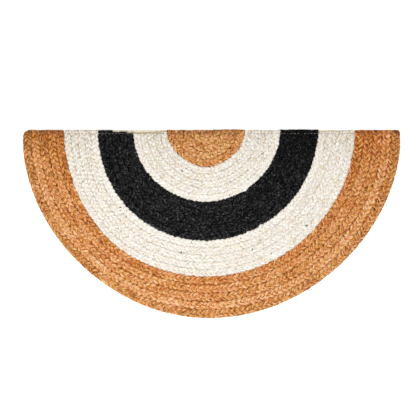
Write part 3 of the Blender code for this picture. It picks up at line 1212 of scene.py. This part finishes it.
# %% [markdown]
# ## The tape under the straight edge
#
# The cut ends of the rows would come undone, so a cotton tape is stitched under them. From above it shows
# only where rows were cut a little short, and from below it is a flat strip along the whole edge. It is the
# mat's one sheet of cloth. It could be a box, but a real tape is never quite straight: its sides wander by
# a fraction of a millimetre and its face has faint ripples where the stitches pull. So it is a fine grid
# with those offsets in it, made thick afterwards. Its weave is too fine for geometry, so it is bump:
# threads that go over and under one another in turn.

# %% The tape
TAPE_GAP = 0.0002  # between the tape and the floor, where the thread below it lies
TAPE_CELLS = (220, 8)
TAPE_WANDER = 0.0003
WANDER_WAVES = (61.0, 23.0)  # radians for each metre of tape
TAPE_RIPPLE = (0.0052, 0.0001)  # length and depth
COTTON_THREAD = 0.0008  # between threads of the tape
COTTON_COLOURS = ((0.25, 0.68, 0.54, 0.37), (0.50, 0.86, 0.73, 0.54), (0.75, 0.93, 0.85, 0.71))


def cotton_material():
    """A plain weave, with a thread over and a thread under in turn."""
    material, tree = new_material("woven_cotton")
    place = tree.add("TexCoord")["Object"]
    along = tree.add("SeparateXYZ", Vector=place)
    warp, weft = (tree.sum("SINE", along[axis] * (math.pi / COTTON_THREAD)) for axis in "XY")
    over_under = warp * weft
    uneven = tree.add("TexNoise", Vector=place, Scale=260.0, Detail=3.0)
    fine = tree.add("TexNoise", Vector=place, Scale=2400.0, Detail=2.0)
    tree.shade(
        Base_Color=tree.ramp(over_under * 0.12 + uneven, COTTON_COLOURS),
        Roughness=tree.ranged(fine, 0.0, 1.0, 0.75, 0.95),
        Normal=tree.add("Bump", Height=fine * 0.6 + over_under, Strength=0.6, Distance=0.00015),
        Sheen_Weight=0.2,
    )
    return material


def make_tape():
    """The tape as a fine grid, with its ripples, made thick by a modifier."""
    length, width, thickness = TAPE_HIGH - TAPE_LOW
    fast, slow = WANDER_WAVES
    ripple_length, ripple_depth = TAPE_RIPPLE
    across_x, across_y = TAPE_CELLS
    form = bmesh.new()
    bmesh.ops.create_grid(form, x_segments=across_x, y_segments=across_y, size=0.5)
    for vert in form.verts:
        x = TAPE_LOW.x + (vert.co.x + 0.5) * length
        y = TAPE_LOW.y + (vert.co.y + 0.5) * width
        y -= TAPE_WANDER * (0.5 + 0.5 * math.sin(fast * x) * math.sin(slow * x + 1.0))
        ripple = 0.5 + 0.5 * math.sin(2 * math.pi * x / ripple_length)
        vert.co = (x, y, thickness - ripple_depth * ripple * (0.5 - abs(vert.co.y)))
    mesh = mesh_from(form, "woven_tape")
    round_corners(mesh)
    mesh.shade_smooth()
    mesh.materials.append(cotton_material())
    piece = dress(mesh, "woven_tape", "cotton_tape", "edge_tape")
    wall = piece.modifiers.new("wall", "SOLIDIFY")
    wall.thickness = thickness - TAPE_GAP
    wall.offset = -1.0


make_tape()
print("tape, in metres:", [round(value, 4) for value in TAPE_HIGH - TAPE_LOW])

# %% [markdown]
# ## The stitches along the straight edge
#
# One line of machine stitches runs along the straight edge, through the braid and the tape. On top each
# stitch is a short bridge of thread that bends down into the braid at both ends, and below it lies flat
# against the tape. They repeat about a hundred times, so a tree puts one small swept arc at each point of a
# line. What is different at each stitch, its height on the uneven braid, is worked out first: the braid's
# own points near the line say how high it is there. Each arc has only a few dozen faces.

# %% The line of stitches
STITCH_PITCH = 0.0080
STITCH_SHARE = 0.80  # of the pitch that the thread bridges
STITCH_SLANT = (0.0, 0.02, 0.22)  # radians at most, about X, Y and Z
STITCH_RISE = 0.0012
THREAD = 0.0010
FLAT_THREAD = 0.0005  # as it lies below the tape
THREAD_COLOURS = ((0.3, 0.150, 0.122, 0.095), (0.7, 0.340, 0.285, 0.225))
STITCH_SIZES = {
    "Holes": "Geometry",
    "Stitch Length": STITCH_PITCH * STITCH_SHARE,
    "Rise": STITCH_RISE,
    "Thread": THREAD,
    "Cotton": "Material",
}


def mottled_material(name, stops, scale, detail, roughness):
    """A material whose colour drifts between the stops, with its tree and the noise behind it."""
    material, tree = new_material(name)
    noise = tree.add("TexNoise", Vector=tree.add("TexCoord")["Object"], Scale=scale, Detail=detail)
    tree.shade(Base_Color=tree.ramp(noise, stops), Roughness=roughness)
    return material, tree, noise


def thread_material():
    """Dull cotton thread."""
    made = mottled_material("sewing_thread", THREAD_COLOURS, scale=900.0, detail=2.0, roughness=0.6)
    material, tree, noise = made
    tree.shade(Normal=tree.add("Bump", Height=noise, Strength=0.4, Distance=0.0001))
    return material


def stitch_tree():
    """The tree that puts a small arc of thread at each point."""
    tree = new_group("line_of_stitches", "GeometryNodeTree", STITCH_SIZES, {"Stitches": "Geometry"})
    half = tree["Stitch Length"] * 0.5
    bow = {
        "Start": tree.add("CombineXYZ", X=half * -1.0),
        "Middle": tree.add("CombineXYZ", Z=tree["Rise"] * 2.0),
        "End": tree.add("CombineXYZ", X=half),
    }
    arc = tree.add("CurveQuadraticBezier", Resolution=5, **bow)
    section = tree.add("CurvePrimitiveCircle", Resolution=5, Radius=tree["Thread"] * 0.5)
    stitch = tree.add("CurveToMesh", Curve=arc, Profile_Curve=section, Fill_Caps=True)
    points = tree.add("MeshToPoints", Mesh=tree["Holes"])
    least = tuple(-angle for angle in STITCH_SLANT)
    slant = tree.add("RandomValue", {0: least, 1: STITCH_SLANT}, Seed=5, data_type="FLOAT_VECTOR")
    line = tree.add("InstanceOnPoints", Points=points, Instance=stitch, Rotation=slant)
    tree.hand_out(line, tree["Cotton"])
    return tree


print("helpers: mottled_material, thread_material, stitch_tree")

# %% Sewing
FIRST_STITCH = 0.004  # metres from either end of the tape
NEAR_THE_LINE = 0.0012
TOP_SHARE = 96  # per cent of the braid's points that lie below a stitch
STITCH_LIFT = 0.0003


def braid_tops(centres, line_y):
    """How high the braid stands at each stitch, from the rows' own points. NaN where there is none."""
    places = np.concatenate([read_items(piece.data.vertices, "co", 3) for piece in ROWS])
    near = places[np.abs(places[:, 1] - line_y) < NEAR_THE_LINE]
    number = np.round((near[:, 0] - centres[0]) / STITCH_PITCH).astype(int)
    heights = [near[number == index, 2] for index in range(len(centres))]
    return np.array([np.percentile(here, TOP_SHARE) if len(here) else np.nan for here in heights])


def make_stitches():
    """The thread on top of the braid and the thread below the tape."""
    line_y = EDGE_Y - STITCH_INSET
    centres = np.arange(TAPE_LOW.x + FIRST_STITCH, TAPE_HIGH.x - FIRST_STITCH, STITCH_PITCH)
    tops = braid_tops(centres, line_y)
    centres, tops = centres[~np.isnan(tops)], tops[~np.isnan(tops)]
    level = np.ones(len(centres))
    tree = stitch_tree()
    cotton = thread_material()
    pieces = []
    for name, heights, rise, thread in (
        ("stitches_on_top", tops + STITCH_LIFT, STITCH_RISE, THREAD),
        ("stitches_below", level * (TAPE_GAP + STITCH_LIFT / 2), 0.0, FLAT_THREAD),
    ):
        holes = bpy.data.meshes.new(name)
        holes.from_pydata(np.stack((centres, level * line_y, heights - rise), axis=-1).tolist(), [], [])
        mesh = run_tree(tree, holes, Rise=rise, Thread=thread, Cotton=cotton)
        keep_attributes(mesh)
        pieces.append(dress(mesh, name, "cotton_tape"))
    return pieces


print("triangles in the stitches:", triangles_in(make_stitches()))

# %% [markdown]
# ## Loose fibres
#
# Jute sheds. Short fibre ends stand out of every strand, and they are what makes the outline of the real
# thing soft when it is seen from near by. Blender's hair could draw them, but an export keeps only meshes.
# So a tree strews small bent slivers over the rows: it picks points at random where the braid faces up,
# lays a sliver at each, along the surface and turned at random, and makes it a real mesh of three sides. A
# sliver that would reach into the floor is bent along it.

# %% The tree of the loose fibres
SLIVER = {
    # the bow of a sliver one metre long
    "Start": (-0.05, 0.0, -0.03),
    "Middle": (0.45, 0.10, 0.14),
    "End": (1.0, -0.12, 0.03),
}
SLIVER_TAPER = 0.75  # share of its width that it loses to the tip
FACES_UP = 0.25  # least height of a face's normal
TILT = (-0.15, 0.35)  # radians
LENGTHS = (0.45, 1.3)  # shares of the fibre length
FLOOR_BEND = 0.001
CEILING_BEND = 0.002
SLIVER_SIZES = {
    "Braid": "Geometry",
    "Fibres A Square Metre": 10000.0,
    "Fibre Length": 0.009,
    "Fibre Width": 0.00016,
    "Lowest": 0.0045,
    "Floor": 0.0004,
    "Ceiling": 0.0135,
    "Seed": 1,
    "Jute": "Material",
}


def between(tree, limits, seed):
    """A random number for each point."""
    return tree.add("RandomValue", dict(zip((2, 3), limits)), Seed=seed, data_type="FLOAT")[1]


def strew_points(tree):
    """Points at random where the braid is high enough and faces up."""
    height = tree.add("SeparateXYZ", Vector=tree.add("InputPosition"))["Z"]
    facing = tree.add("SeparateXYZ", Vector=tree.add("InputNormal"))["Z"]
    high = tree.add("Compare", {0: height, 1: tree["Lowest"]}, operation="GREATER_THAN")
    up = tree.add("Compare", {0: facing, 1: FACES_UP}, operation="GREATER_THAN")
    both = tree.add("BooleanMath", {0: high, 1: up}, operation="AND")
    density = {"Density": tree["Fibres A Square Metre"], "Seed": tree["Seed"]}
    return tree.add("DistributePointsOnFaces", Mesh=tree["Braid"], Selection=both, **density)


def bend_to_floor(tree, slivers):
    """Keeps slivers between the floor and the ceiling of loose fibre."""
    position = tree.add("InputPosition")
    height = tree.add("SeparateXYZ", Vector=position)["Z"]
    height = tree.sum("SMOOTH_MAX", height, tree["Floor"], FLOOR_BEND)
    height = tree.sum("SMOOTH_MIN", height, tree["Ceiling"], CEILING_BEND)
    bent = position * FLAT + tree.add("CombineXYZ", Z=height)
    return tree.add("SetPosition", Geometry=tree.add("RealizeInstances", Geometry=slivers), Position=bent)


def sliver_tree():
    """The tree that strews bent slivers over the braid."""
    tree = new_group("loose_fibres", "GeometryNodeTree", SLIVER_SIZES, {"Fibres": "Geometry"})
    strewn = strew_points(tree)
    arc = tree.add("CurveQuadraticBezier", Resolution=4, **SLIVER)
    thinness = tree["Fibre Width"] / tree["Fibre Length"]
    section = tree.add("CurvePrimitiveCircle", Resolution=3, Radius=thinness)
    taper = 1.0 - tree.add("SplineParameter") * SLIVER_TAPER
    sliver = tree.add("CurveToMesh", Curve=arc, Profile_Curve=section, Scale=taper, Fill_Caps=True)
    turn = between(tree, (-math.pi, math.pi), seed=tree["Seed"])
    own = tree.add("CombineXYZ", X=0.0, Y=between(tree, TILT, seed=7) * -1.0, Z=turn)
    turned = {"Rotation": strewn["Rotation"], "Rotate By": own}
    aligned = tree.add("RotateRotation", turned, rotation_space="LOCAL")
    placed = {"Rotation": aligned, "Scale": between(tree, LENGTHS, seed=11) * tree["Fibre Length"]}
    slivers = tree.add("InstanceOnPoints", Points=strewn, Instance=sliver, **placed)
    tree.hand_out(bend_to_floor(tree, slivers), tree["Jute"])
    return tree


SLIVERS = sliver_tree()
print("nodes in the slivers' tree:", len(SLIVERS.group.nodes))

# %% [markdown]
# ## Strewing the mat
#
# Each colour gets its own piece of loose fibres. The same tree also strews a few short thick slivers of
# dark bark, which sorting never quite removes from the stalks' fibre. They could be spots in the material,
# but a real speck stands out of the braid and catches the light.

# %% Strewing
FIBRE_COLOURS = {
    # colour: darkest and lightest
    "natural": ((0.35, 0.34, 0.15, 0.045), (0.65, 0.86, 0.56, 0.28)),
    "cream": ((0.35, 0.55, 0.44, 0.26), (0.65, 0.92, 0.88, 0.78)),
    "black": ((0.35, 0.010, 0.010, 0.011), (0.65, 0.10, 0.085, 0.075)),
    "bark": ((0.35, 0.016, 0.012, 0.007), (0.65, 0.11, 0.075, 0.035)),
}
BARK_SIZES = {"Fibre_Length": 0.0055, "Fibre_Width": 0.0017, "Lowest": 0.0070}
STREWN = (
    # name, colour of the rows, colour of the slivers, how many to a square metre, seed, other sizes
    ("loose_fibres_natural", "natural", "natural", 16000.0, 0, {}),
    ("loose_fibres_cream", "cream", "cream", 11000.0, 1, {}),
    ("loose_fibres_black", "black", "black", 12000.0, 2, {}),
    ("bark_specks_natural", "natural", "bark", 220.0, 5, BARK_SIZES),
    ("bark_specks_cream", "cream", "bark", 100.0, 5, BARK_SIZES),
)
FIBRE_PAINTS = {
    colour: mottled_material(f"loose_{colour}_fibre", stops, scale=140.0, detail=1.0, roughness=0.55)[0]
    for colour, stops in FIBRE_COLOURS.items()
}


def joined_rows(colour):
    """One mesh with the faces of all the rows of a colour."""
    form = bmesh.new()
    for row, piece in enumerate(ROWS, 1):
        if band_of(row)[1] == colour:
            form.from_mesh(piece.data)
    return mesh_from(form, "joined")


for name, rows_colour, paint, density, seed, sizes in STREWN:
    given = {"Fibres_A_Square_Metre": density, "Seed": seed, "Jute": FIBRE_PAINTS[paint], **sizes}
    slivers = run_tree(SLIVERS, joined_rows(rows_colour), **given)
    keep_attributes(slivers)
    print("triangles in", name, triangles_in([dress(slivers, name, f"jute_{rows_colour}")]))
